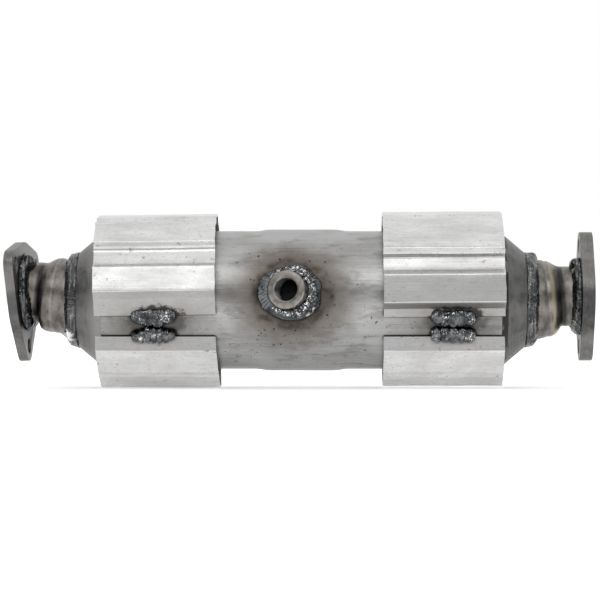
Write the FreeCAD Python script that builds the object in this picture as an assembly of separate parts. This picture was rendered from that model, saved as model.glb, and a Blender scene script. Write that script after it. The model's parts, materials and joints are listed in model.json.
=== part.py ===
"""Inline catalytic converter with two ceramic bricks, corrugated heat shields,
a sensor boss and a flanged pipe at each end.

Millimetres. X runs along the body tube towards the two-bolt flange, Z is up,
the sensor boss faces -Y, and the origin is at the middle of the body tube.
Each physical piece is one solid and one STEP file in parts/.
"""
import FreeCAD, Part
import math
import os

from FreeCAD import Vector

# Body tube, drawn down over the bricks and left full size in the middle
TUBE_R = 50.8
TUBE_WALL = 1.5
TUBE_HALF = 144.4
BAND_RISE = 1.2
BAND_HALF = 27.0
BAND_TAPER = 3.5

# End cones, butted to the tube
CONE_HALF_ANGLE = 40.0

# Ceramic bricks and the mats that hold them
MAT_THICKNESS = 3.3
MAT_INSET = 4.0
MIDDLE_GAP = 72.0
BRICK_END_GAP = 18.4
CELL_PITCH = 10.0
CELL_WEB = 1.3
CELL_EDGE_LAND = 2.0

# Necks: plug in the cone, bell, then a straight pipe
PIPE_R = 22.2
PIPE_WALL = 1.6
PIPE_RECESS = 1.5
PLUG_R = 29.6
PLUG_DEPTH = 5.0
PLUG_STAND = 3.2
BELL_R = 28.2
BELL_LENGTH = 17.7
BELL_SHOULDER_SHARE = 0.42
RIGHT_PIPE_LENGTH = 13.0
RIGHT_DRIFT = 2.7
LEFT_PIPE_LENGTH = 12.0
LEFT_DRIFT = 6.2

# Flanges
BOLT_HOLE_R = 5.5
RIGHT_THICKNESS = 9.5
RIGHT_BOLT_SPACING = 74.5
RIGHT_HEIGHT = 94.6
RIGHT_EAR_R = 15.5
RIGHT_DISC_LAND = 10.3
LEFT_THICKNESS = 7.0
LEFT_BOLT_R = 39.5
LEFT_EARS = 3
LEFT_EAR_R = 11.0
LEFT_DISC_LAND = 14.8
LEFT_YAW = 6.3
LEFT_LEAN = 2.3

# Welds
NECK_WELD_BACK = 6.7
NECK_WELD_AHEAD = 3.0
FLANGE_WELD_LEG = 6.6
WELD_CROWN = 0.9
TACK_LENGTH = 32.5
TACK_R = 6.6
TACK_END_R = 2.6
TACK_TAPER = 6.5
TACK_SINK = 0.6
UPPER_TACK_ANGLE = -14.2
LOWER_TACK_ANGLE = -28.0
LEFT_TACK_SHIFT = -1.0
RIGHT_TACK_SHIFT = 6.2

# Sensor boss
BOSS_X = -8.5
BOSS_ELEVATION = 7.0
BOSS_TILT = 15.0
BOSS_R = 13.9
BOSS_HEIGHT = 11.5
BOSS_CHAMFER = 1.3
THREAD_R = 8.2
TUBE_HOLE_MARGIN = 0.9
BOSS_WELD_WIDTH = 8.9
BOSS_WELD_RISE = 4.6
BOSS_WELD_TOE = 0.8
BOSS_WELD_TOP_WIDTH = 1.6

# Heat shields
SHEET = 1.0
SHIELD_LENGTH = 87.8
LEFT_SHIELD_OVERHANG = 4.9
RIGHT_SHIELD_OVERHANG = 2.3
LEFT_UPPER_INNER_LIFT = 1.2
RIGHT_UPPER_OUTER_LIFT = 0.6
SHARP_BEND = 1.8
SOFT_BEND = 5.0
CREASE_BEND = 1.2
LIP_RISE = 0.8
FOLD_RISE = 2.9
VALLEY_RISE = 6.5
GROOVE_RISE = 8.0
STEP_RISE = 10.2
RIDGE_RISE = 11.8
CROWN_RISE = 12.5
HIGH_CROWN_RISE = 14.1
# Corners of the sheet's middle line: degrees above the -Y side, rise over the
# tube and bend radius, from the lip up to the crown or down to the bottom flat
LEFT_UPPER_CORNERS = (
    (-12.6, LIP_RISE, 0.0),
    (0.9, VALLEY_RISE, SHARP_BEND),
    (5.5, RIDGE_RISE, SHARP_BEND),
    (21.9, RIDGE_RISE, SHARP_BEND),
    (25.5, VALLEY_RISE, SOFT_BEND),
    (39.0, VALLEY_RISE, SOFT_BEND),
    (41.5, RIDGE_RISE, SHARP_BEND),
    (63.4, RIDGE_RISE, SHARP_BEND),
    (68.0, GROOVE_RISE, SHARP_BEND),
    (74.0, GROOVE_RISE, SHARP_BEND),
)
LEFT_CROWN = ((77.8, STEP_RISE, SHARP_BEND), (98.2, RIDGE_RISE, SHARP_BEND))
RIGHT_UPPER_CORNERS = (
    (-13.4, LIP_RISE, 0.0),
    (-6.6, FOLD_RISE, SHARP_BEND),
    (-1.7, RIDGE_RISE, SHARP_BEND),
    (16.7, RIDGE_RISE, SHARP_BEND),
    (21.9, VALLEY_RISE, SOFT_BEND),
    (31.9, VALLEY_RISE, CREASE_BEND),
    (33.0, STEP_RISE, CREASE_BEND),
    (38.0, STEP_RISE, CREASE_BEND),
    (40.2, CROWN_RISE, CREASE_BEND),
    (68.5, CROWN_RISE, SHARP_BEND),
    (73.4, GROOVE_RISE, SHARP_BEND),
)
RIGHT_CROWN = ((77.3, CROWN_RISE, SHARP_BEND), (97.0, HIGH_CROWN_RISE, SHARP_BEND))
LOWER_CORNERS = (
    (-30.8, LIP_RISE, 0.0),
    (-38.6, GROOVE_RISE, SHARP_BEND),
    (-58.8, STEP_RISE, CREASE_BEND),
    (-61.6, GROOVE_RISE, CREASE_BEND),
    (-64.8, STEP_RISE, CREASE_BEND),
)
BOTTOM_HALF_ANGLE = 9.7
LEFT_BOTTOM_DROP = 13.2
RIGHT_BOTTOM_DROP = 12.0

X_AXIS = Vector(1, 0, 0)
Y_AXIS = Vector(0, 1, 0)
ORIGIN = Vector(0, 0, 0)

# Sizes that follow from the ones above
TUBE_BORE = TUBE_R - TUBE_WALL
BAND_R = TUBE_R + BAND_RISE
BRICK_R = TUBE_BORE - MAT_THICKNESS
BRICK_START = MIDDLE_GAP / 2
BRICK_LENGTH = TUBE_HALF - BRICK_END_GAP - BRICK_START
CONE_SLOPE = math.tan(math.radians(CONE_HALF_ANGLE))
CONE_TIP = TUBE_HALF + (TUBE_R - PLUG_R) / CONE_SLOPE
PLUG_START = CONE_TIP - PLUG_DEPTH
PLUG_END = CONE_TIP + PLUG_STAND
PIPE_START = PLUG_END + BELL_LENGTH
BOSS_WELD_R = BOSS_R + BOSS_WELD_WIDTH


def polar(angle, radius):
    """Point in the YZ plane, at an angle above the side that faces -Y."""
    turn = math.radians(angle)
    return Vector(0, -radius * math.cos(turn), radius * math.sin(turn))


def revolve(points):
    """Solid of revolution about X from the corners (x, radius) of its section."""
    corners = [Vector(x, r, 0) for x, r in points]
    section = Part.makePolygon(corners + corners[:1])
    return Part.Face(section).revolve(ORIGIN, X_AXIS, 360)


def rod(radius, start, axis, length):
    return Part.makeCylinder(radius, length, start, axis)


def mirrored(shape):
    return shape.mirror(ORIGIN, X_AXIS)


def cone_radius(x):
    """Outer radius of the end cone at a distance from mid-length."""
    return TUBE_R - (x - TUBE_HALF) * CONE_SLOPE


def tube_blank(radius, middle, length):
    """Solid bar in the body tube's place, to cut other pieces to the tube."""
    return rod(radius, Vector(middle - length / 2, 0, 0), X_AXIS, length)


def boss_frame():
    """Foot, radial direction and tilted axis of the sensor boss."""
    radial = polar(BOSS_ELEVATION, 1.0)
    foot = polar(BOSS_ELEVATION, BAND_R)
    foot.x = BOSS_X
    tilt = math.radians(BOSS_TILT)
    axis = radial * math.cos(tilt) - X_AXIS * math.sin(tilt)
    return foot, radial, axis


def make_shell():
    """Body tube with its full-size middle band and the hole under the boss."""
    outer = [
        (-TUBE_HALF, TUBE_R),
        (-BAND_HALF - BAND_TAPER, TUBE_R),
        (-BAND_HALF, BAND_R),
        (BAND_HALF, BAND_R),
        (BAND_HALF + BAND_TAPER, TUBE_R),
        (TUBE_HALF, TUBE_R),
    ]
    inner = [(x, r - TUBE_WALL) for x, r in reversed(outer)]
    foot, _, axis = boss_frame()
    drill = rod(THREAD_R + TUBE_HOLE_MARGIN, foot - axis * BOSS_R, axis, 2 * BOSS_R)
    return revolve(outer + inner).cut(drill)


def make_cone():
    """Right-hand cone, from the tube's end face to the bore round the neck's plug."""
    wall_step = TUBE_WALL / CONE_SLOPE
    return revolve([
        (TUBE_HALF, TUBE_R),
        (CONE_TIP, PLUG_R),
        (CONE_TIP - wall_step, PLUG_R),
        (TUBE_HALF, TUBE_BORE),
    ])


def make_neck_weld():
    """Heavy ring of weld over the cone's tip and the neck's plug."""
    cone_toe = CONE_TIP - NECK_WELD_BACK
    neck_toe = CONE_TIP + NECK_WELD_AHEAD
    return revolve([
        (cone_toe, cone_radius(cone_toe)),
        (CONE_TIP, PLUG_R + NECK_WELD_AHEAD + WELD_CROWN),
        (neck_toe, PLUG_R),
        (CONE_TIP, PLUG_R),
    ])


def make_brick():
    """Honeycomb brick with through-channels along X."""
    brick = rod(BRICK_R, Vector(BRICK_START, 0, 0), X_AXIS, BRICK_LENGTH)
    side = CELL_PITCH - CELL_WEB
    reach = int(BRICK_R // CELL_PITCH)
    steps = [n * CELL_PITCH for n in range(-reach, reach + 1)]
    channels = []
    for y in steps:
        for z in steps:
            corner = math.hypot(abs(y) + side / 2, abs(z) + side / 2)
            if corner > BRICK_R - CELL_EDGE_LAND:
                continue
            start = Vector(BRICK_START, y - side / 2, z - side / 2)
            channels.append(Part.makeBox(BRICK_LENGTH, side, side, start))
    return brick.cut(Part.makeCompound(channels))


def make_mat():
    start = Vector(BRICK_START + MAT_INSET, 0, 0)
    length = BRICK_LENGTH - 2 * MAT_INSET
    return rod(TUBE_BORE, start, X_AXIS, length).cut(rod(BRICK_R, start, X_AXIS, length))


def pipe_frame(side, drift, pipe_length, yaw, lean):
    """Frame at a flange's inner face, local +X outwards along the pipe."""
    rotation = FreeCAD.Rotation(yaw, lean, 0)
    start = Vector(side * PIPE_START, 0, drift)
    return FreeCAD.Placement(start + rotation.multVec(X_AXIS) * pipe_length, rotation)


def placed(shape, frame):
    copy = shape.copy()
    copy.Placement = frame
    return copy


def make_neck_skin(side, frame, pipe_length, pipe_end, inset):
    """Neck as a solid bar, drawn in by inset: plug, bell and straight pipe."""
    outward = X_AXIS * side
    plug_end = outward * PLUG_END
    axis = frame.Rotation.multVec(X_AXIS)
    pipe_start = frame.Base - axis * pipe_length
    shoulder = plug_end + (pipe_start - plug_end) * BELL_SHOULDER_SHARE
    circles = [
        Part.makeCircle(PLUG_R - inset, plug_end, outward),
        Part.makeCircle(BELL_R - inset, shoulder, outward),
        Part.makeCircle(PIPE_R - inset, pipe_start, axis),
    ]
    bell = Part.makeLoft([Part.Wire(circle) for circle in circles], True, True)
    plug = rod(PLUG_R - inset, outward * PLUG_START, outward, PLUG_END - PLUG_START)
    pipe = rod(PIPE_R - inset, pipe_start, axis, pipe_length + pipe_end)
    return plug.fuse([bell, pipe])


def make_neck(side, frame, pipe_length, thickness):
    pipe_end = thickness - PIPE_RECESS
    outer = make_neck_skin(side, frame, pipe_length, pipe_end, 0.0)
    return outer.cut(make_neck_skin(side, frame, pipe_length, pipe_end, PIPE_WALL))


def spot(clock, radius):
    """Point in a flange's own plane, at a clock angle from its local +Z."""
    turn = math.radians(clock)
    return Vector(0, -radius * math.sin(turn), radius * math.cos(turn))


def eared_face(disc_r, ear_r, reach, clocks):
    """Outline round a centre disc and its bolt ears, joined by tangent lines.

    Clocks are the ears' angles in rising order, and reach is the distance of
    each ear's centre from the axis.
    """
    spread = math.degrees(math.acos((disc_r - ear_r) / reach))

    def curve(centre, radius, first, last):
        angles = (first, (first + last) / 2, last)
        points = [centre + spot(angle, radius) for angle in angles]
        return Part.Arc(*points).toShape()

    edges = []
    for clock, following in zip(clocks, clocks[1:] + [clocks[0] + 360]):
        ear = spot(clock, reach)
        next_ear = spot(following, reach)
        leave = clock + spread
        arrive = following - spread
        edges.append(curve(ear, ear_r, clock - spread, leave))
        edges.append(Part.makeLine(ear + spot(leave, ear_r), spot(leave, disc_r)))
        edges.append(curve(ORIGIN, disc_r, leave, arrive))
        edges.append(Part.makeLine(spot(arrive, disc_r), next_ear + spot(arrive, ear_r)))
    return Part.Face(Part.Wire(edges))


def make_flange(face, bolt_r, clocks, thickness):
    """Flange plate in its own frame, from the inner face outwards."""
    holes = [rod(PIPE_R, ORIGIN, X_AXIS, thickness)]
    for clock in clocks:
        holes.append(rod(BOLT_HOLE_R, spot(clock, bolt_r), X_AXIS, thickness))
    return face.extrude(X_AXIS * thickness).cut(Part.makeCompound(holes))


def make_right_flange():
    ear_reach = RIGHT_HEIGHT / 2 - RIGHT_EAR_R
    clocks = [0, 180]
    face = eared_face(PIPE_R + RIGHT_DISC_LAND, RIGHT_EAR_R, ear_reach, clocks)
    return make_flange(face, RIGHT_BOLT_SPACING / 2, clocks, RIGHT_THICKNESS)


def make_left_flange():
    """Three ears, the last of them straight down."""
    clocks = [180 + 360 / LEFT_EARS * n for n in range(LEFT_EARS)]
    face = eared_face(PIPE_R + LEFT_DISC_LAND, LEFT_EAR_R, LEFT_BOLT_R, clocks)
    return make_flange(face, LEFT_BOLT_R, clocks, LEFT_THICKNESS)


def make_flange_weld():
    """Fillet bead in the flange's frame, between pipe and inner face."""
    middle = FLANGE_WELD_LEG / 2 + WELD_CROWN
    return revolve([
        (0, PIPE_R),
        (-FLANGE_WELD_LEG, PIPE_R),
        (-middle, PIPE_R + middle),
        (0, PIPE_R + FLANGE_WELD_LEG),
    ])


def make_boss():
    """Threaded boss with a saddle foot on the tube's middle band."""
    foot, _, axis = boss_frame()
    sink = BOSS_R / 2
    body = rod(BOSS_R, foot - axis * sink, axis, BOSS_HEIGHT + sink)
    bore = rod(THREAD_R, foot - axis * BOSS_R, axis, 2 * BOSS_R + BOSS_HEIGHT)
    rim = foot + axis * (BOSS_HEIGHT - BOSS_CHAMFER)
    mouth = Part.makeCone(THREAD_R, THREAD_R + BOSS_CHAMFER, BOSS_CHAMFER, rim, axis)
    return body.cut(tube_blank(BAND_R, BOSS_X, 4 * BOSS_R)).cut(bore).cut(mouth)


def make_boss_weld():
    """Saddle bead round the boss, seated on the tube's middle band."""
    foot, radial, axis = boss_frame()
    low = foot - radial * BOSS_R
    skirt = rod(BOSS_WELD_R, low, radial, BOSS_R + BOSS_WELD_TOE)
    crown = Part.makeCone(
        BOSS_WELD_R, BOSS_R + BOSS_WELD_TOP_WIDTH, BOSS_WELD_RISE - BOSS_WELD_TOE,
        foot + radial * BOSS_WELD_TOE, radial)
    bead = skirt.fuse(crown).cut(tube_blank(BAND_R, BOSS_X, 4 * BOSS_WELD_R))
    return bead.cut(rod(BOSS_R, foot - axis * 2 * BOSS_R, axis, 4 * BOSS_R))


def sheet_side(corners, offset):
    """The corners of a bent strip moved sideways, so each flat keeps its gauge."""
    moved = []
    for index, corner in enumerate(corners):
        flats = []
        if index > 0:
            flats.append(corner - corners[index - 1])
        if index < len(corners) - 1:
            flats.append(corners[index + 1] - corner)
        normals = [X_AXIS.cross(flat).normalize() for flat in flats]
        total = sum(normals, Vector())
        moved.append(corner + total * (offset * len(normals) / total.Length ** 2))
    return moved


def rounded_path(corners, radii):
    """Edges through the corners, each inner corner rounded by its own radius."""
    edges = []
    last = corners[0]
    for index in range(1, len(corners) - 1):
        corner = corners[index]
        back = (corners[index - 1] - corner).normalize()
        ahead = (corners[index + 1] - corner).normalize()
        half = back.getAngle(ahead) / 2
        bisector = (back + ahead).normalize()
        reach = radii[index] / math.tan(half)
        crown = corner + bisector * (radii[index] / math.sin(half) - radii[index])
        start = corner + back * reach
        end = corner + ahead * reach
        edges.append(Part.makeLine(last, start))
        edges.append(Part.Arc(start, crown, end).toShape())
        last = end
    edges.append(Part.makeLine(last, corners[-1]))
    return edges


def shield_profile(corners):
    """Face of the bent sheet, from corners given as degrees, rise and bend radius."""
    middle = [polar(angle, TUBE_R + rise) for angle, rise, bend in corners]
    inner = sheet_side(middle, SHEET / 2)
    outer = sheet_side(middle, -SHEET / 2)
    turns = [0]
    for before, here, after in zip(middle, middle[1:], middle[2:]):
        turns.append(1 if (here - before).cross(after - here).x < 0 else -1)
    turns.append(0)
    bends = [bend for angle, rise, bend in corners]
    edges = rounded_path(inner, [r - turn * SHEET / 2 for r, turn in zip(bends, turns)])
    edges += rounded_path(outer, [r + turn * SHEET / 2 for r, turn in zip(bends, turns)])
    edges.append(Part.makeLine(inner[0], outer[0]))
    edges.append(Part.makeLine(inner[-1], outer[-1]))
    return Part.Face(Part.Wire(Part.__sortEdges__(edges)))


def both_halves(front, crown, turned_by):
    """Front corners, the crown or bottom flat, then the front mirrored behind."""
    back = [(turned_by - angle, rise, bend) for angle, rise, bend in reversed(front)]
    return list(front) + list(crown) + back


def lower_corners(drop):
    """Corners of a lower shield whose bottom flat is at a drop below the tube."""
    rise = (TUBE_R + drop - SHEET / 2) / math.cos(math.radians(BOTTOM_HALF_ANGLE)) - TUBE_R
    bottom = [(angle, rise, SHARP_BEND) for angle in (BOTTOM_HALF_ANGLE - 90, -90 - BOTTOM_HALF_ANGLE)]
    return both_halves(LOWER_CORNERS, bottom, -180)


def make_shield(start, corners, start_lift=0.0, end_lift=0.0):
    """Shield from X = start, each end lifted off the tube on its own."""
    shield = shield_profile(corners).extrude(X_AXIS * SHIELD_LENGTH)
    slope = math.degrees(math.atan2(end_lift - start_lift, SHIELD_LENGTH))
    shield.rotate(ORIGIN, Y_AXIS, -slope)
    shield.translate(Vector(start, 0, start_lift))
    return shield


def make_tack(x, angle, neighbours):
    """Tack weld lying along X on the tube, cut back where it meets other pieces."""
    half = TACK_LENGTH / 2
    full = half - TACK_TAPER
    bead = revolve([
        (-half, 0),
        (-half, TACK_END_R),
        (-full, TACK_R),
        (full, TACK_R),
        (half, TACK_END_R),
        (half, 0),
    ])
    bead.translate(polar(angle, TUBE_R - TACK_SINK) + X_AXIS * x)
    for piece in [tube_blank(TUBE_R, x, 2 * TACK_LENGTH)] + neighbours:
        bead = bead.cut(piece)
    return max(bead.Solids, key=lambda solid: solid.Volume)


def make_side_pieces():
    """Pieces that are alike at both ends, drawn for the right and mirrored."""
    pieces = {
        "cone": make_cone(),
        "neck_weld": make_neck_weld(),
        "brick": make_brick(),
        "mat": make_mat(),
    }
    nodes = {}
    for name, shape in pieces.items():
        nodes["right_" + name] = shape
        nodes["left_" + name] = mirrored(shape)
    return nodes


def make_pipe_ends():
    """Each neck with its own flange and flange weld."""
    right = pipe_frame(1, RIGHT_DRIFT, RIGHT_PIPE_LENGTH, 0, 0)
    left = pipe_frame(-1, LEFT_DRIFT, LEFT_PIPE_LENGTH, 180 - LEFT_YAW, LEFT_LEAN)
    return {
        "right_neck": make_neck(1, right, RIGHT_PIPE_LENGTH, RIGHT_THICKNESS),
        "left_neck": make_neck(-1, left, LEFT_PIPE_LENGTH, LEFT_THICKNESS),
        "right_flange": placed(make_right_flange(), right),
        "left_flange": placed(make_left_flange(), left),
        "right_flange_weld": placed(make_flange_weld(), right),
        "left_flange_weld": placed(make_flange_weld(), left),
    }


def make_shields():
    left = -TUBE_HALF - LEFT_SHIELD_OVERHANG
    right = TUBE_HALF + RIGHT_SHIELD_OVERHANG - SHIELD_LENGTH
    left_upper = both_halves(LEFT_UPPER_CORNERS, LEFT_CROWN, 180)
    right_upper = both_halves(RIGHT_UPPER_CORNERS, RIGHT_CROWN, 180)
    return {
        "left_upper_shield": make_shield(left, left_upper, 0, LEFT_UPPER_INNER_LIFT),
        "left_lower_shield": make_shield(left, lower_corners(LEFT_BOTTOM_DROP)),
        "right_upper_shield": make_shield(right, right_upper, 0, RIGHT_UPPER_OUTER_LIFT),
        "right_lower_shield": make_shield(right, lower_corners(RIGHT_BOTTOM_DROP)),
    }


def make_tacks(shields):
    """Eight tacks, each over one shield's lip, on the front and the back."""
    left_x = -TUBE_HALF - LEFT_SHIELD_OVERHANG + SHIELD_LENGTH / 2 + LEFT_TACK_SHIFT
    right_x = TUBE_HALF + RIGHT_SHIELD_OVERHANG - SHIELD_LENGTH / 2 + RIGHT_TACK_SHIFT
    nodes = {}
    for side, x in (("left_", left_x), ("right_", right_x)):
        near = [shields[side + "upper_shield"], shields[side + "lower_shield"]]
        angles = {
            "front_tack": (UPPER_TACK_ANGLE, LOWER_TACK_ANGLE),
            "back_tack": (180 - UPPER_TACK_ANGLE, 180 - LOWER_TACK_ANGLE),
        }
        for name, (upper, lower) in angles.items():
            upper_tack = make_tack(x, upper, near)
            nodes[side + "upper_" + name] = upper_tack
            nodes[side + "lower_" + name] = make_tack(x, lower, near + [upper_tack])
    return nodes


def build():
    shields = make_shields()
    nodes = {
        "body_shell": make_shell(),
        "sensor_boss": make_boss(),
        "boss_weld": make_boss_weld(),
    }
    nodes.update(make_side_pieces())
    nodes.update(make_pipe_ends())
    nodes.update(shields)
    nodes.update(make_tacks(shields))
    return nodes


os.makedirs("parts", exist_ok=True)
for node, shape in build().items():
    shape.exportStep("parts/" + node + ".step")
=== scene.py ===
"""Looks of the catalytic converter: beads, honeycomb, thread and metal finishes.

The CAD frame is in metres; sizes and places in this script are in millimetres
and become metres with MM. X runs along the body tube, the sensor boss faces -Y
and Z is up. Left is the -X end and right the +X end.
"""

import json
import math
import random

import bmesh
import bpy
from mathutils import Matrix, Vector, noise

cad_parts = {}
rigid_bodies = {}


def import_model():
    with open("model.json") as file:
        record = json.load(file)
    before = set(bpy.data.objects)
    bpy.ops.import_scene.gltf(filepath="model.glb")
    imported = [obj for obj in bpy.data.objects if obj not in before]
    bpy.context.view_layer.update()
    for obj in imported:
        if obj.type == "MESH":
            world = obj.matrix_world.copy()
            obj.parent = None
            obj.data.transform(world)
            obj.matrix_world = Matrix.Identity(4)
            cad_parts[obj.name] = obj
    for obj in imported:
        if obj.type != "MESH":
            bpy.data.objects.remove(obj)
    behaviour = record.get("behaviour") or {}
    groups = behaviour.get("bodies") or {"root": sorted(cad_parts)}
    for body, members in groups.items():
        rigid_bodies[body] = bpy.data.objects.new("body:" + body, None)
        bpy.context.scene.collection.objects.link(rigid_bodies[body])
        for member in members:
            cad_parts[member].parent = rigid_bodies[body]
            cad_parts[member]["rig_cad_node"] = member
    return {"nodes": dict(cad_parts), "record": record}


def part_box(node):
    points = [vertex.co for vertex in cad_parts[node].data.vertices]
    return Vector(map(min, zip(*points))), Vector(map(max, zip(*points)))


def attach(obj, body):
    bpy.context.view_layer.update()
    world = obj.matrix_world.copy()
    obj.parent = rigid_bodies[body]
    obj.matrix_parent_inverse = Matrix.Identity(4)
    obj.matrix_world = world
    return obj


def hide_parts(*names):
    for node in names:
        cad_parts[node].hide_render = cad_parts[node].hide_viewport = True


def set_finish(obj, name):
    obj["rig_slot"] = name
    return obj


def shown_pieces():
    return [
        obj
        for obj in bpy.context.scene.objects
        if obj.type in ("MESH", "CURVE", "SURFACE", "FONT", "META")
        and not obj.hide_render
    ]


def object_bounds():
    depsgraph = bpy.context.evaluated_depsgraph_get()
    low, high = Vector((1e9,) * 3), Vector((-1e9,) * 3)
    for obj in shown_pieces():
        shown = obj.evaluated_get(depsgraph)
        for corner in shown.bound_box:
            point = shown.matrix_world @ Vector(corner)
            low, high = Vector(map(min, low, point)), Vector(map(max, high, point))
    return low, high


for leftover in list(bpy.data.objects):
    bpy.data.objects.remove(leftover)
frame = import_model()
cad_lo, cad_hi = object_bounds()

MM = 0.001
M = 1000.0
SIDES = ("left", "right")
X_AXIS = Vector((1.0, 0.0, 0.0))


# ------------ places

def node_box(node):
    """Lowest and highest corner of a CAD node, in millimetres."""
    lo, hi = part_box(node)
    return lo * M, hi * M


def mount(name):
    """Place in millimetres, direction, and sizes of one of the record's mounts."""
    for entry in frame["record"]["mounts"]:
        if entry["name"] == name:
            return Vector(entry["pos_m"]) * M, Vector(entry["axis"]).normalized(), entry["dims"]
    raise ValueError(name)


def side_sign(side):
    """1 on the right side and -1 on the left."""
    return 1.0 if side == "right" else -1.0


TUBE_R = node_box("right_cone")[1].y
TUBE_END = node_box("body_shell")[1].x
CONE_TIP = node_box("right_cone")[1].x
THREAD_PLACE, BOSS_AXIS, THREAD_DIMS = mount("sensor_thread")
THREAD_R = THREAD_DIMS["r_mm"]
THREAD_LENGTH = THREAD_DIMS["length_mm"]
BOSS_FOOT = THREAD_PLACE - BOSS_AXIS * (THREAD_LENGTH / 2)
BOSS_R = 13.9


# ------------ meshes

# Edges that turn by more degrees than this are drawn crisp
SHARP_ANGLE = 35.0


def add_piece(name, mesh, slot, *nodes):
    """New piece that rides on the converter and stands for the CAD nodes."""
    piece = bpy.data.objects.new(name, mesh)
    bpy.context.scene.collection.objects.link(piece)
    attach(piece, "root")
    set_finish(piece, slot)
    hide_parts(*nodes)
    return piece


def smooth_by_angle(mesh, degrees):
    """Smooth shading, with edges sharper than the angle kept crisp."""
    mesh.shade_smooth()
    mesh.set_sharp_from_angle(angle=math.radians(degrees))


def mesh_from(name, verts, faces, sharp=SHARP_ANGLE):
    """Mesh from corners in millimetres."""
    mesh = bpy.data.meshes.new(name)
    mesh.from_pydata([Vector(v) * MM for v in verts], [], faces)
    shape = bmesh.new()
    shape.from_mesh(mesh)
    bmesh.ops.recalc_face_normals(shape, faces=shape.faces)
    shape.to_mesh(mesh)
    shape.free()
    smooth_by_angle(mesh, sharp)
    return mesh


def ring(centre, axis, radius, steps):
    """Points of a circle about an axis; radius is a number or a function of the angle."""
    across = axis.cross(Vector((0.0, 1.0, 0.0))).normalized()
    other = axis.cross(across).normalized()
    points = []
    for step in range(steps):
        angle = math.tau * step / steps
        reach = radius(angle) if callable(radius) else radius
        points.append(centre + (across * math.cos(angle) + other * math.sin(angle)) * reach)
    return points


def skin(name, rings, closed=True, sharp=SHARP_ANGLE):
    """Mesh over a chain of rings; closed joins the last ring to the first."""
    steps = len(rings[0])
    verts = [point for loop in rings for point in loop]
    faces = []
    last = len(rings) if closed else len(rings) - 1
    for row in range(last):
        here = row * steps
        there = (row + 1) % len(rings) * steps
        for step in range(steps):
            after = (step + 1) % steps
            faces.append((here + step, here + after, there + after, there + step))
    return mesh_from(name, verts, faces, sharp)


def node_copy(node):
    """Editable copy of a CAD node's mesh, with its seams joined."""
    shape = bmesh.new()
    shape.from_mesh(frame["nodes"][node].data)
    bmesh.ops.remove_doubles(shape, verts=shape.verts, dist=1e-6)
    return shape


def flat_copy(node):
    """Copy of a CAD node's mesh in which each flat part is one face."""
    shape = node_copy(node)
    flat = math.radians(0.3)
    bmesh.ops.dissolve_limit(shape, angle_limit=flat, verts=shape.verts, edges=shape.edges)
    return shape


def finished(shape, name, sharp=SHARP_ANGLE):
    """Plain mesh from an editable one."""
    mesh = bpy.data.meshes.new(name)
    shape.to_mesh(mesh)
    shape.free()
    smooth_by_angle(mesh, sharp)
    return mesh


def baked(piece):
    """Turn a piece's modifiers into plain mesh."""
    bpy.context.view_layer.update()
    graph = bpy.context.evaluated_depsgraph_get()
    mesh = bpy.data.meshes.new_from_object(piece.evaluated_get(graph))
    piece.modifiers.clear()
    piece.data = mesh
    return mesh


def remeshed(piece, voxel, rounds):
    """Even, soft mesh of a piece: remeshed at the voxel size and smoothed."""
    remesh = piece.modifiers.new("remesh", "REMESH")
    remesh.mode = "VOXEL"
    remesh.voxel_size = voxel * MM
    soften = piece.modifiers.new("soften", "SMOOTH")
    soften.iterations = rounds
    return baked(piece)


def kept_inside(point, lo, hi):
    """The nearest point inside a box."""
    return Vector(max(low, min(high, value)) for value, low, high in zip(point, lo, hi))


def eased(value, start, end):
    """Share of the way from start to end, from 0 to 1 with soft ends."""
    share = min(1.0, max(0.0, (value - start) / (end - start)))
    return share * share * (3.0 - 2.0 * share)


def lumps(point, size, seed=0.0):
    """Smooth noise from -1 to 1 with features of about the given size."""
    return noise.noise(point / size + Vector((seed, seed * 0.7, -seed)))


# ------------ welds

RIPPLE_PITCH = 2.1
# Lumps of extra metal: place from the weld's middle, reach and height
WELD_LUMPS = {
    "left_flange_weld": (((0.5, -11.0, 21.0), 8.0, 3.0), ((0.0, -9.0, -24.0), 5.0, 1.5)),
    "left_neck_weld": (((0.0, -18.0, -24.0), 7.0, 2.0),),
    "right_neck_weld": (((0.0, -4.0, 31.0), 6.0, 1.4), ((0.5, -12.0, -28.0), 4.0, 1.5)),
    "right_flange_weld": (((0.0, -8.0, 24.0), 7.0, 2.2),),
    "boss_weld": (((13.0, -5.0, -13.0), 5.0, 1.8), ((-18.0, -2.0, 0.0), 8.0, 0.8)),
}
# Sides where the boss weld is narrow: direction, and share of its width missing
BOSS_WELD_CUTS = (
    (Vector((-0.42, 0.0, 0.91)), 0.52),
    (Vector((0.50, 0.0, 0.87)), 0.22),
    (Vector((-0.28, 0.0, -0.96)), 0.20),
)


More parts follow.
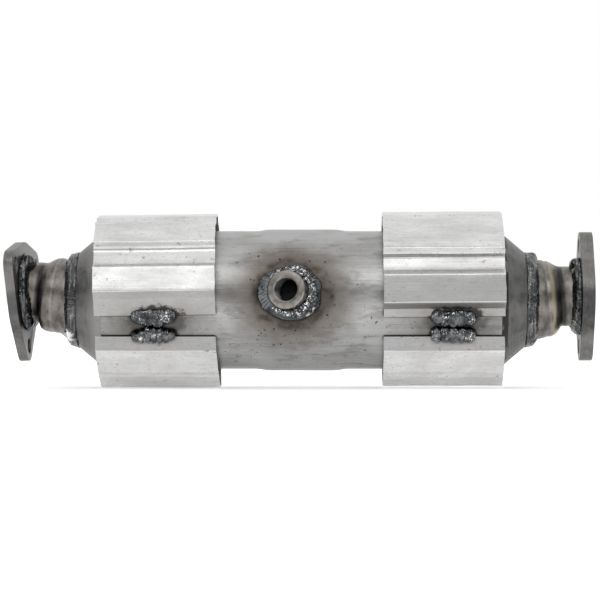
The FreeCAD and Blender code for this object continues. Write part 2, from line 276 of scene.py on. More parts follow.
def bead(node, ripple, voxel, swell, scallop, seed):
    """Rippled weld bead in the place of a plain CAD weld.

    ripple(point) gives the run along the bead in ripples and the share across it.
    swell is how uneven the bead's width is, and scallop how deep its ripples are.
    Ripples are crescents, deep in some places and faint in others.
    """
    name = node + "_bead"
    piece = add_piece(name, finished(node_copy(node), name), "weld_metal", node)
    mesh = remeshed(piece, voxel, rounds=9)
    lo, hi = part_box(node)
    middle = (lo + hi) / 2 * M
    normals = [vertex.normal.copy() for vertex in mesh.vertices]
    for vertex, normal in zip(mesh.vertices, normals):
        point = vertex.co * M
        run, across = ripple(point)
        phase = run + 0.8 * across * across + 0.35 * lumps(point, 5.0, seed)
        wave = abs(math.sin(math.pi * phase)) ** 0.7
        strong = 0.55 + 0.45 * lumps(point, 9.0, seed + 2.0)
        rise = scallop * strong * (wave - 0.7)
        rise += swell * lumps(point, 7.0, seed + 5.0)
        rise += 0.35 * swell * lumps(point, 2.2, seed + 9.0)
        moved = kept_inside(vertex.co + normal * rise * MM, lo, hi)
        for offset, reach, height in WELD_LUMPS[node]:
            near = 1.0 - eased((point - middle - Vector(offset)).length, reach * 0.3, reach)
            moved += normal * near * height * MM
        vertex.co = kept_inside(moved, cad_lo, cad_hi)
    mesh.shade_smooth()
    return mesh


def round_ripple(centre, axis, radius, half_width):
    """Function for the run and width of a point on a bead that goes round an axis."""
    across = axis.cross(Vector((0.0, 1.0, 0.3))).normalized()
    other = axis.cross(across).normalized()

    def place(point):
        arm = point - centre
        angle = math.atan2(arm.dot(other), arm.dot(across))
        return angle * radius / RIPPLE_PITCH, arm.dot(axis) / half_width

    return place


def make_neck_welds():
    """Beads where the necks meet the cones."""
    for side in SIDES:
        node = side + "_neck_weld"
        lo, hi = node_box(node)
        ripple = round_ripple((lo + hi) / 2, X_AXIS, hi.y, (hi.x - lo.x) / 2)
        bead(node, ripple, voxel=0.5, swell=0.7, scallop=0.3, seed=side_sign(side) * 3.0)


def make_flange_welds():
    """Beads where the pipes meet the flanges."""
    for side in SIDES:
        node = side + "_flange_weld"
        axis = mount(side + "_pipe_bore")[1]
        lo, hi = node_box(node)
        ripple = round_ripple((lo + hi) / 2, axis, radius=26.0, half_width=4.0)
        bead(node, ripple, voxel=0.45, swell=1.1, scallop=0.3, seed=side_sign(side) * 11.0)


def make_boss_weld():
    """Weld round the boss, drawn in where the real bead is narrow."""
    ripple = round_ripple(BOSS_FOOT, BOSS_AXIS, radius=18.0, half_width=6.0)
    mesh = bead("boss_weld", ripple, voxel=0.4, swell=1.1, scallop=0.6, seed=21.0)
    for vertex in mesh.vertices:
        arm = vertex.co * M - BOSS_FOOT
        flat = arm - BOSS_AXIS * arm.dot(BOSS_AXIS)
        beyond = max(flat.length - BOSS_R, 0.0)
        outward = flat.normalized()
        cut = sum(share * eased(outward.dot(way), 0.72, 0.98) for way, share in BOSS_WELD_CUTS)
        vertex.co -= outward * beyond * cut * MM


# ------------ tack welds

# How far a tack's drops run past its CAD solid, up and down
TACK_OVERLAP = 1.1
# Drops in a row, how much narrower the end ones are, and how strong the ripples are
TACK_SHAPES = {
    "left_upper_front_tack": (4, 0.12, 1.0),
    "left_lower_front_tack": (7, 0.48, 0.35),
}
PLAIN_TACK = (5, 0.15, 1.0)
TACK_SEED = 30
TACK_SEED_STEP = 7


def tack_drops(node, centre, half, chance):
    """Row of overlapping drops of weld metal along X."""
    drops = bmesh.new()
    count, taper, rippled = TACK_SHAPES.get(node, PLAIN_TACK)
    for index in range(count):
        share = 2.0 * index / (count - 1) - 1.0
        size = Vector((
            half.x / count * chance.uniform(1.35, 1.65),
            half.y * chance.uniform(0.85, 1.0),
            half.z * chance.uniform(1.0 - 0.16 * rippled, 1.0) * (1.0 - taper * share * share),
        ))
        place = centre + Vector((
            share * (half.x - size.x),
            0.0,
            chance.uniform(-1.0, 1.0) * (half.z - size.z),
        ))
        made = bmesh.ops.create_icosphere(drops, subdivisions=3, radius=1.0)
        for vertex in made["verts"]:
            vertex.co = (place + vertex.co * size) * MM
    return drops


def make_tack(node, seed):
    """Tack bead: drops of weld metal run together, with ripples over them."""
    lo, hi = node_box(node)
    lo.z -= TACK_OVERLAP
    hi.z += TACK_OVERLAP
    centre = (lo + hi) / 2
    half = (hi - lo) / 2
    drops = tack_drops(node, centre, half, random.Random(seed))
    name = node + "_bead"
    piece = add_piece(name, finished(drops, name), "weld_metal", node)
    mesh = remeshed(piece, voxel=0.35, rounds=4)
    rippled = TACK_SHAPES.get(node, PLAIN_TACK)[2]
    normals = [vertex.normal.copy() for vertex in mesh.vertices]
    for vertex, normal in zip(mesh.vertices, normals):
        point = vertex.co * M
        arc = (point.z - centre.z) / half.z
        phase = (point.x - centre.x) / RIPPLE_PITCH + 0.7 * arc * arc
        phase += 0.5 * lumps(point, 6.0, seed)
        rise = 0.38 * (abs(math.sin(math.pi * phase)) - 0.6) + 0.45 * lumps(point, 3.2, seed)
        moved = vertex.co + normal * rise * rippled * MM
        vertex.co = kept_inside(moved, lo * MM, hi * MM)
    mesh.shade_smooth()


def make_tacks():
    """Tack beads that hold the shields, front and back."""
    seed = TACK_SEED
    for side in SIDES:
        for level in ("upper", "lower"):
            for face in ("front", "back"):
                make_tack("_".join((side, level, face, "tack")), seed)
                seed += TACK_SEED_STEP


# ------------ bricks

CELL_PITCH = 1.27
CELL_WALL = 0.17
BRICK_SKIN = 0.6
# Faces of a box whose corners are numbered with Z fastest and X slowest
BOX_FACES = ((0, 1, 3, 2), (4, 6, 7, 5), (0, 4, 5, 1), (2, 3, 7, 6), (0, 2, 6, 4), (1, 5, 7, 3))


def add_box(verts, faces, lo, hi):
    """Append the corners and faces of a box."""
    base = len(verts)
    for x in (lo[0], hi[0]):
        for y in (lo[1], hi[1]):
            for z in (lo[2], hi[2]):
                verts.append((x, y, z))
    for corners in BOX_FACES:
        faces.append(tuple(base + corner for corner in corners))


def brick_cells(name, lo, hi):
    """Thin walls that cross each other to make square cells along X."""
    inner = hi.y - BRICK_SKIN / 2
    half = CELL_WALL / 2
    verts = []
    faces = []
    count = int(inner / CELL_PITCH)
    for index in range(-count, count + 1):
        place = index * CELL_PITCH
        reach = math.sqrt(inner * inner - place * place)
        add_box(verts, faces, (lo.x, place - half, -reach), (hi.x, place + half, reach))
        add_box(verts, faces, (lo.x, -reach, place - half), (hi.x, reach, place + half))
    return mesh_from(name, verts, faces)


def make_brick(side):
    """Honeycomb of thin crossing walls inside a round ceramic skin."""
    node = side + "_brick"
    lo, hi = node_box(node)
    add_piece(node + "_cells", brick_cells(node + "_cells", lo, hi), "ceramic", node)
    inner = hi.y - BRICK_SKIN
    rings = []
    for x, radius in ((lo.x, hi.y), (hi.x, hi.y), (hi.x, inner), (lo.x, inner)):
        rings.append(ring(Vector((x, 0.0, 0.0)), X_AXIS, radius, 128))
    add_piece(node + "_skin", skin(node + "_skin", rings), "ceramic", node)


# ------------ body tube

BAND_START = 23.5
BAND_END = 34.0
TUBE_WALL = 1.5
TUBE_ROWS = 90
# How far the tube's wall swings in and out of round
TUBE_WAVE = 0.12
# The hole under the boss: radius, depth into the tube and height over the boss's foot
HOLE_R = THREAD_R + 0.9
HOLE_DEPTH = 14.0
HOLE_HEIGHT = 6.0


def tube_radius(x, band_r):
    """Outer radius of the tube: full size in the middle, eased down to each side."""
    return band_r + (TUBE_R - band_r) * eased(abs(x), BAND_START, BAND_END)


def cut_hole(piece):
    """Drill the hole under the boss through the tube's wall."""
    rings = []
    for depth, radius in (
        (-HOLE_HEIGHT, 0.01),
        (-HOLE_HEIGHT, HOLE_R),
        (HOLE_DEPTH, HOLE_R),
        (HOLE_DEPTH, 0.01),
    ):
        rings.append(ring(BOSS_FOOT - BOSS_AXIS * depth, BOSS_AXIS, radius, 64))
    drill = bpy.data.objects.new("drill", skin("drill", rings, closed=False))
    bpy.context.scene.collection.objects.link(drill)
    hole = piece.modifiers.new("hole", "BOOLEAN")
    hole.operation = "DIFFERENCE"
    hole.solver = "EXACT"
    hole.object = drill
    baked(piece)
    bpy.data.objects.remove(drill)


def make_body():
    """Drawn tube with soft shoulders, a little out of round, drilled for the boss."""
    name = "body_shell_drawn"
    band_r = node_box("body_shell")[1].y
    stations = [-TUBE_END + TUBE_END * 2.0 * step / TUBE_ROWS for step in range(TUBE_ROWS + 1)]
    rings = []
    for inset, xs in ((0.0, stations), (TUBE_WALL, stations[::-1])):
        for x in xs:

            def reach(angle, at=x, less=inset):
                key = Vector((at * 0.5, math.cos(angle) * 50.0, math.sin(angle) * 50.0))
                wave = TUBE_WAVE * lumps(key, 24.0, 3.0)
                return tube_radius(at, band_r) - less - TUBE_WAVE - wave

            rings.append(ring(Vector((x, 0.0, 0.0)), X_AXIS, reach, 96))
    piece = add_piece(name, skin(name, rings), "body_steel", "body_shell")
    cut_hole(piece)
    smooth_by_angle(piece.data, 40.0)


# ------------ sensor boss

THREAD_PITCH = 1.5
THREAD_DEPTH = 0.85
# Rings of mesh in each pitch of the thread
THREAD_ROWS = 8
BOSS_EDGE = 0.7
MOUTH_EDGE = 0.8
# How far the boss goes on below its foot, to meet the curved tube all round
BOSS_SINK = 4.0


def boss_ring(height, radius):
    """Ring about the boss's axis at a height over its foot."""
    return ring(BOSS_FOOT + BOSS_AXIS * height, BOSS_AXIS, radius, 120)


def thread_radius(height, angle):
    """Radius of the threaded bore: sloping flanks between flat crests and roots."""
    turn = (height / THREAD_PITCH - angle / math.tau) % 1.0
    flank = abs(2.0 * turn - 1.0)
    return THREAD_R + THREAD_DEPTH * min(1.0, max(0.0, 1.35 * flank - 0.15))


def make_boss():
    """Boss with a turned face, chamfers and a real helical thread in its bore."""
    name = "sensor_boss_threaded"
    top = THREAD_LENGTH
    bore = THREAD_R + THREAD_DEPTH
    rings = [
        boss_ring(-BOSS_SINK, BOSS_R),
        boss_ring(top - BOSS_EDGE - 0.2, BOSS_R),
        boss_ring(top - BOSS_EDGE, BOSS_R - 0.15),
        boss_ring(top - 0.1, BOSS_R - BOSS_EDGE),
        boss_ring(top, BOSS_R - BOSS_EDGE - 0.2),
        boss_ring(top, bore + 0.75),
        boss_ring(top - 0.1, bore + 0.6),
        boss_ring(top - MOUTH_EDGE, bore),
    ]
    rows = int((top + 1.0) / THREAD_PITCH * THREAD_ROWS)
    for row in range(1, rows + 1):
        height = top - MOUTH_EDGE - (top + 0.2) * row / rows
        rings.append(boss_ring(height, lambda angle, at=height: thread_radius(at, angle)))
    rings.append(boss_ring(-BOSS_SINK, bore))
    add_piece(name, skin(name, rings, sharp=28.0), "boss_steel", "sensor_boss")


# ------------ shields

# Rough length of a shield's facets along X, and length of those at its cut ends
EDGE_STEP = 3.6
EDGE_TRIM = 0.5
# Angle of a shield's facets round the tube, and the share of it before the first slice
SLICE_ANGLE = 3.0
SLICE_SHIFT = 0.37
# How far from its cut ends a shield's edges are uneven
EDGE_REACH = 2.5
# How far a shield's foot sits along X from where the cut is square
FOOT_SKEW = {"left_lower_shield": 2.0}
SHIELD_SEED_STEP = 13.0


def sliced_shield(node):
    """Copy of a shield's mesh cut into small facets, so that it can be bent."""
    shape = flat_copy(node)
    lo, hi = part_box(node)
    steps = int((hi.x - lo.x) * M / EDGE_STEP)
    places = [lo.x + (hi.x - lo.x) * step / steps for step in range(1, steps)]
    places += [lo.x + EDGE_TRIM * MM, hi.x - EDGE_TRIM * MM]
    planes = [(Vector((x, 0.0, 0.0)), X_AXIS) for x in places]
    for step in range(int(180.0 / SLICE_ANGLE)):
        angle = math.radians((step + SLICE_SHIFT) * SLICE_ANGLE)
        planes.append((Vector(), Vector((0.0, math.cos(angle), math.sin(angle)))))
    for place, normal in planes:
        everything = shape.verts[:] + shape.edges[:] + shape.faces[:]
        bmesh.ops.bisect_plane(
            shape,
            geom=everything,
            plane_co=place,
            plane_no=normal,
            dist=1e-7,
        )
    return shape


def make_shield(node, seed):
    """Heat shield with slightly wavy facets and uneven cut ends."""
    name = node + "_formed"
    shape = sliced_shield(node)
    lo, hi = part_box(node)
    skew = FOOT_SKEW.get(node, 0.0)
    for vertex in shape.verts:
        point = vertex.co * M
        arm = Vector((0.0, point.y, point.z))
        out = arm.normalized()
        loose = min(1.0, max(0.0, (arm.length - TUBE_R - 1.5) / 5.0))
        key = Vector((point.x, out.y * 55.0, out.z * 55.0))
        wave = 0.30 * lumps(key, 26.0, seed) + 0.10 * lumps(key, 8.0, seed)
        moved = vertex.co + out * wave * loose * MM
        moved.x += skew * MM * (hi.z - vertex.co.z) / (hi.z - lo.z)
        for end, inward in ((lo.x, 1.0), (hi.x, -1.0)):
            if abs(vertex.co.x - end) < EDGE_REACH * MM:
                share = 1.0 - abs(vertex.co.x - end) / (EDGE_REACH * MM)
                ragged = 0.30 + 0.30 * lumps(key, 2.2, seed + 2.0)
                ragged += 0.3 * lumps(key, 9.0, seed + 4.0)
                moved.x += inward * share * ragged * MM
        vertex.co = kept_inside(moved, cad_lo, cad_hi)
    add_piece(name, finished(shape, name, 24.0), "shield_sheet", node)


def make_shields():
    """Upper and lower shield of each side."""
    seed = 1.0
    for side in SIDES:
        for level in ("upper", "lower"):
            make_shield(side + "_" + level + "_shield", seed)
            seed += SHIELD_SEED_STEP


# ------------ necks

NECK_WALL = 1.6
PIPE_R = 22.2
PIPE_BORE_R = 20.6
# Rough step between two rings, and how far the lobes' skin swings in and out
NECK_STEP = 0.8
NECK_WAVE = 0.35
# The pipe ends this far short of the flange's outer face
PIPE_SETBACK = 1.5
# Distance past the cone tip, outer radius, height of the centre, lean in degrees
NECK_STATIONS = {
    "left": (
        (-4.9, 29.5, 0.0, 0.0),
        (2.0, 29.5, 0.0, 0.0),
        (4.2, 28.8, 1.6, 1.0),
        (6.4, 27.9, 3.0, 2.5),
        (9.2, 27.7, 3.4, 4.0),
        (10.2, 27.3, 3.5, 4.5),
        (11.2, 27.5, 3.6, 5.5),
        (13.4, 27.2, 3.7, 8.0),
        (15.6, 26.5, 3.8, 9.0),
        (17.6, 25.2, 4.0, 9.0),
        (19.0, 23.6, 4.3, 8.5),
        (20.2, 22.5, 4.7, 7.0),
        (22.0, 22.2, 5.0, 4.0),
    ),
    "right": (
        (-4.9, 29.5, 0.0, 0.0),
        (2.0, 29.5, 0.0, 0.0),
        (4.2, 29.3, 0.2, 0.0),
        (7.0, 28.8, 0.5, 1.0),
        (8.6, 28.2, 0.6, 2.0),
        (9.6, 27.9, 0.7, 2.5),
        (10.8, 28.1, 0.8, 3.0),
        (12.6, 27.6, 0.9, 4.0),
        (14.8, 26.4, 1.2, 4.5),
        (16.6, 24.9, 1.6, 4.5),
        (18.2, 23.4, 2.1, 4.0),
        (20.0, 22.4, 2.5, 2.5),
        (22.0, 22.2, 2.7, 1.0),
    ),
}


def curve_value(a, b, c, d, t):
    """Smooth curve from b to c as t goes from 0 to 1, between neighbours a and d."""
    slope = (c - a) * t
    bend = (2 * a - 5 * b + 4 * c - d) * t ** 2
    twist = (3 * b - a - 3 * c + d) * t ** 3
    return (2 * b + slope + bend + twist) / 2


def refined(rows):
    """The rows with more between them, along a smooth line in every column."""
    points = []
    for index in range(len(rows) - 1):
        before = rows[max(0, index - 1)]
        here, there = rows[index], rows[index + 1]
        after = rows[min(len(rows) - 1, index + 2)]
        count = max(1, int(abs(there[0] - here[0]) / NECK_STEP))
        for part in range(count):
            t = part / count
            row = [curve_value(*column, t) for column in zip(before, here, there, after)]
            row[0] = here[0] + (there[0] - here[0]) * t
            points.append(tuple(row))
    points.append(rows[-1])
    return points


def neck_ring(side, distance, height, lean):
    """Centre and direction of the neck's ring at a distance past the cone tip.

    Rings of the lobes lie over the tube's axis; past the bend they go over to the pipe's.
    """
    sign = side_sign(side)
    bore, axis, _ = mount(side + "_pipe_bore")
    x = sign * (CONE_TIP + distance)
    bend = NECK_STATIONS[side][-3][0]
    share = eased(distance, bend - 1.0, bend + 6.5)
    lobe = Vector((x, 0.0, height))
    pipe = bore + axis * ((x - bore.x) / axis.x)
    angle = math.radians(lean)
    turn = eased(distance, 4.0, 14.0)
    aim = Vector((sign * math.cos(angle), axis.y * turn, math.sin(angle))).normalized()
    return lobe.lerp(pipe, share), aim.lerp(axis, share).normalized()


def neck_rows(side):
    """Rows of the neck from the cone out to the pipe's end, and back along its bore."""
    outer = refined(NECK_STATIONS[side])
    height = outer[-1][2]
    end = abs(mount(side + "_flange_face")[0].x) - CONE_TIP - PIPE_SETBACK
    edge = [
        (end - 0.4, PIPE_R, height, 0.0),
        (end, PIPE_R - 0.3, height, 0.0),
        (end, PIPE_BORE_R + 0.4, height, 0.0),
        (end - 0.3, PIPE_BORE_R, height, 0.0),
    ]
    inner = [(distance, radius - NECK_WALL, z, lean) for distance, radius, z, lean in outer]
    return outer + edge + inner[::-1]


def make_neck(side, seed):
    """Swaged neck: soft uneven lobes, a tight crease and the rounder pipe, in one skin."""
    node = side + "_neck"
    name = node + "_swaged"
    rings = []
    for distance, radius, height, lean in neck_rows(side):
        centre, aim = neck_ring(side, distance, height, lean)
        soft = NECK_WAVE * (1.0 - 0.85 * eased(distance, 20.0, 26.0))

        def reach(angle, at=distance, base=radius, amount=soft):
            key = Vector((at * 0.6, math.cos(angle) * 26.0, math.sin(angle) * 26.0))
            return base + amount * lumps(key, 11.0, seed) - 0.5 * amount

        rings.append(ring(centre, aim, reach, 160))
    add_piece(name, skin(name, rings), "neck_steel", node)


# ------------ flanges

FLANGE_EDGE = 0.55


def make_flange(side):
    """Flange with its sharp corners broken."""
    node = side + "_flange"
    name = node + "_dressed"
    piece = add_piece(name, finished(flat_copy(node), name), "flange_steel", node)
    bevel = piece.modifiers.new("corners", "BEVEL")
    bevel.width = FLANGE_EDGE * MM
    bevel.segments = 3
    bevel.limit_method = "ANGLE"
    bevel.angle_limit = math.radians(40)
    smooth_by_angle(baked(piece), 32.0)


# ------------ spatter

SPATTER_TRIES = 46
SPATTER_SPREAD = 26.0
# No drop lies further from the middle of the tube, or nearer to the boss's axis
SPATTER_REACH = 52.0
SPATTER_GAP = 25.0
# Drops this near the middle of the tube lie on its wide band
SPATTER_BAND = 26.0
# Angle in radians to each side of the front, and radius of a drop
SPATTER_ANGLE = 0.75
SPATTER_SIZES = (0.25, 0.75)


def make_spatter():
    """Small drops of weld metal left on the tube round the boss."""
    chance = random.Random(7)
    drops = bmesh.new()
    band_r = node_box("body_shell")[1].y
    for _ in range(SPATTER_TRIES):
        angle = chance.uniform(-SPATTER_ANGLE, SPATTER_ANGLE)
        x = BOSS_FOOT.x + chance.gauss(0.0, SPATTER_SPREAD)
        if abs(x) > SPATTER_REACH:
            continue
        radius = band_r if abs(x) < SPATTER_BAND else TUBE_R
        middle = Vector((x, -radius * math.cos(angle), radius * math.sin(angle)))
        arm = middle - BOSS_FOOT
        if (arm - BOSS_AXIS * arm.dot(BOSS_AXIS)).length < SPATTER_GAP:
            continue
        size = chance.uniform(*SPATTER_SIZES)
        made = bmesh.ops.create_icosphere(drops, subdivisions=2, radius=size * MM)
        for vertex in made["verts"]:
            vertex.co = vertex.co + middle * MM
    add_piece("weld_spatter", finished(drops, "weld_spatter", 80.0), "weld_metal")


# ------------ materials

def grey(value, warm=0.0):
    """Linear grey; warm above 0 leans to brown and below 0 to blue."""
    return (value * (1.0 + warm), value, value * (1.0 - warm), 1.0)


class Nodes:
    """Short ways to add nodes to a tree. Values are sockets or plain numbers."""

    def __init__(self, tree):
        self.tree = tree

    def node(self, kind, **settings):
        """New node with these settings."""
        made = self.tree.nodes.new(kind)
        for key, value in settings.items():
            setattr(made, key, value)
        return made

    def plug(self, socket, value):
        """Link a socket, or set it if the value is a plain number or colour."""
        if isinstance(value, bpy.types.NodeSocket):
            self.tree.links.new(value, socket)
        else:
            socket.default_value = value

    def part(self, vector, axis):
        """One coordinate of a vector."""
        made = self.node("ShaderNodeSeparateXYZ")
        self.plug(made.inputs[0], vector)
        return made.outputs[axis]

    def calc(self, operation, first, second=0.0, third=0.0):
        """Result of an operation on up to three values."""
        made = self.node("ShaderNodeMath", operation=operation)
        self.plug(made.inputs[0], first)
        self.plug(made.inputs[1], second)
        self.plug(made.inputs[2], third)
        return made.outputs[0]

    def times(self, first, second):
        """One value multiplied by another."""
        return self.calc("MULTIPLY", first, second)

    def highest(self, masks):
        """The highest of several masks."""
        top = masks[0]
        for mask in masks[1:]:
            top = self.calc("MAXIMUM", top, mask)
        return top

    def size_of(self, value):
        """The value without its sign."""
        return self.calc("ABSOLUTE", value)

    def apart(self, first, second):
        """How far two values are apart."""
        return self.size_of(self.calc("SUBTRACT", first, second))

    def spared(self, mask, share=1.0):
        """1 where the mask is 0, and less by the share where it is 1."""
        return self.calc("MULTIPLY_ADD", mask, -share, 1.0)

    def between(self, value, low, high, to_low=0.0, to_high=1.0):
        """The value taken from one range to another, smoothly and clamped."""
        made = self.node("ShaderNodeMapRange", interpolation_type="SMOOTHSTEP")
        self.plug(made.inputs["Value"], value)
        made.inputs["From Min"].default_value = low
        made.inputs["From Max"].default_value = high
        made.inputs["To Min"].default_value = to_low
        made.inputs["To Max"].default_value = to_high
        return made.outputs["Result"]

    def window(self, value, start, full, fading, end):
        """Mask that rises from start to full and falls from fading to end."""
        return self.times(self.between(value, start, full), self.between(value, end, fading))

    def mix(self, share, first, second):
        """Colour that goes from the first to the second with the share."""
        made = self.node("ShaderNodeMix", data_type="RGBA")
        self.plug(made.inputs["Factor"], share)
        self.plug(made.inputs["A"], first)
        self.plug(made.inputs["B"], second)
        return made.outputs["Result"]


class Finish(Nodes):
    """A material whose colour is built up in layers. Lengths are in millimetres."""

    def __init__(self, name):
        self.material = bpy.data.materials.new(name)
        self.material.use_nodes = True
        super().__init__(self.material.node_tree)
        self.shader = self.tree.nodes["Principled BSDF"]
        place = self.node("ShaderNodeTexCoord").outputs["Object"]
        self.place = self.vector("MULTIPLY", place, (M, M, M))
        self.colour = None

    def vector(self, operation, first, second=(0.0, 0.0, 0.0)):
        """Result of an operation on one or two vectors."""
        made = self.node("ShaderNodeVectorMath", operation=operation)
        self.plug(made.inputs[0], first)
        self.plug(made.inputs[1], second)
        return made.outputs["Value" if operation == "LENGTH" else "Vector"]

    def noise(self, factors=(1.0, 1.0, 1.0), size=1.0, detail=3.0, rough=0.55, warp=0.0):
        """Noise from 0 to 1 with features of about the size, stretched by factors."""
        made = self.node("ShaderNodeTexNoise")
        self.plug(made.inputs["Vector"], self.vector("MULTIPLY", self.place, factors))
        made.inputs["Scale"].default_value = 1.0 / size
        made.inputs["Detail"].default_value = detail
        made.inputs["Roughness"].default_value = rough
        made.inputs["Distortion"].default_value = warp
        return made.outputs["Fac"]

    def ragged(self, value, amount, **pattern):
        """The value with noise added to it, so that its masks get uneven edges."""
        return self.calc("MULTIPLY_ADD", self.noise(**pattern), amount, value)

    def along(self, axis):
        """One coordinate of the surface's place."""
        return self.part(self.place, axis)

    def facing(self, axis):
        """How far the surface faces along a frame axis, from -1 to 1."""
        return self.part(self.node("ShaderNodeNewGeometry").outputs["Normal"], axis)

    def distance(self, centre, factors=(1.0, 1.0, 1.0)):
        """Distance from a place, with each axis scaled by its factor."""
        arm = self.vector("SUBTRACT", self.place, tuple(centre))
        return self.vector("LENGTH", self.vector("MULTIPLY", arm, factors))

    def off_axis(self, foot, axis):
        """Distance from a line."""
        arm = self.vector("SUBTRACT", self.place, tuple(foot))
        return self.vector("LENGTH", self.vector("CROSS_PRODUCT", arm, tuple(axis)))

    def near(self, centre, reach, full):
        """Mask that is 1 inside the full distance from a place and 0 beyond the reach."""
        return self.between(self.distance(centre), reach, full)

    def hollow_shade(self, reach, alone=True):
        """Share from 0 to 1 of painted shade, high in grooves and corners where shade falls.

        alone leaves out what other pieces hide.
        """
        made = self.node("ShaderNodeAmbientOcclusion", samples=8, only_local=alone)
        made.inputs["Distance"].default_value = reach * MM
        return self.between(made.outputs["AO"], 0.95, 0.55)

    def ground(self, pattern, dark, pale, low=0.3, high=0.7):
        """First layer: dark where the pattern is low and pale where it is high."""
        self.colour = self.mix(self.between(pattern, low, high), dark, pale)

    def coat(self, mask, share, colour):
        """Next layer: this share of the colour where the mask is 1."""
        self.colour = self.mix(self.times(mask, share), self.colour, colour)

    def bump(self, height, strength, depth):
        """Bump of the given depth; each call goes over the last one."""
        made = self.node("ShaderNodeBump")
        made.inputs["Strength"].default_value = strength
        made.inputs["Distance"].default_value = depth * MM
        self.plug(made.inputs["Height"], height)
        before = self.shader.inputs["Normal"]
        if before.is_linked:
            self.plug(made.inputs["Normal"], before.links[0].from_socket)
        self.plug(self.shader.inputs["Normal"], made.outputs["Normal"])

    def patchy(self, pattern, smooth, dull):
        """Roughness that goes from smooth to dull with the pattern."""
        return self.between(pattern, 0.3, 0.7, smooth, dull)

    def done(self, roughness, metallic=1.0):
        """The material, with its layers and roughness plugged in."""
        self.plug(self.shader.inputs["Base Color"], self.colour)
        self.plug(self.shader.inputs["Roughness"], roughness)
        self.plug(self.shader.inputs["Metallic"], metallic)
        return self.material


def speckle(look, size, share):
    """Mask of small ragged specks that lie in loose groups."""
    specks = look.noise((0.7, 1.0, 1.0), size=size, detail=3.0, rough=0.6)
    groups = look.noise(size=size * 6.0, detail=2.0)
    return look.times(
        look.between(specks, 0.63, 0.67),
        look.between(groups, 0.86 - share, 0.94 - share),
    )


def tack_places(side):
    """Middle of the tack welds on the front of one side, and of those on its back."""
    places = []
    for face in ("front", "back"):
        lo, hi = node_box("_".join((side, "upper", face, "tack")))
        low, high = node_box("_".join((side, "lower", face, "tack")))
        places.append((lo + hi + low + high) / 4)
    return places


def scorch(look):
    """Share of heat scorch round the tack welds, from 0 to 1."""
    masks = []
    for side in SIDES:
        for middle in tack_places(side):
            far = look.distance(middle, (0.62, 1.0, 1.25))
            edge = look.ragged(far, 12.0, size=9.0, detail=4.0)
            masks.append(look.between(edge, 38.0, 13.0))
    return look.highest(masks)


def charred(look):
    """Share of black crust close to the tack welds on the front, from 0 to 1."""
    masks = []
    for side in SIDES:
        middle = tack_places(side)[0] + Vector((3.0, 0.0, 3.5))
        far = look.distance(middle, (0.66, 1.0, 1.2))
        edge = look.ragged(far, 16.0, size=5.0, detail=6.0, rough=0.75)
        masks.append(look.between(edge, 24.0, 20.5))
    return look.highest(masks)


def make_shield_steel():
    """Bright satin sheet: long brush lines, smudges, painted shade in its grooves and under its
    downward faces, scorch by the tacks.
    """
    look = Finish("shield_steel")
    lines = look.noise((0.02, 1.0, 1.0), size=0.7, detail=4.0, rough=0.7)
    smudge = look.noise((0.35, 1.0, 1.0), size=14.0, detail=5.0, rough=0.65)
    mottle = look.noise((0.7, 1.0, 1.0), size=2.2, detail=4.0, rough=0.7)
    look.ground(smudge, grey(0.56, 0.01), grey(0.74, 0.005), 0.32, 0.72)
    look.coat(look.between(lines, 0.35, 0.75), 0.45, grey(0.84))
    look.coat(look.between(mottle, 0.50, 0.68), 0.30, grey(0.36, 0.01))
    # Painted shade in the grooves and corners of the sheet
    look.coat(look.hollow_shade(5.0), 0.65, grey(0.15, 0.03))
    # Painted shade on the downward faces of the upper shields
    under = look.between(look.facing("Z"), -0.12, -0.50)
    upper = look.between(look.along("Z"), -20.0, -10.0)
    look.coat(look.times(under, upper), 0.50, grey(0.20, 0.02))
    look.coat(speckle(look, 3.2, 0.36), 0.6, grey(0.20, 0.05))
    burnt = scorch(look)
    look.coat(burnt, 0.62, grey(0.20, 0.16))
    look.coat(charred(look), 0.9, grey(0.018, 0.10))
    look.bump(look.noise(size=0.9), 0.15, 0.04)
    look.bump(lines, 0.35, 0.06)
    dull = look.between(smudge, 0.3, 0.75, 0.33, 0.24)
    return look.done(look.calc("ADD", dull, look.times(burnt, 0.16)))


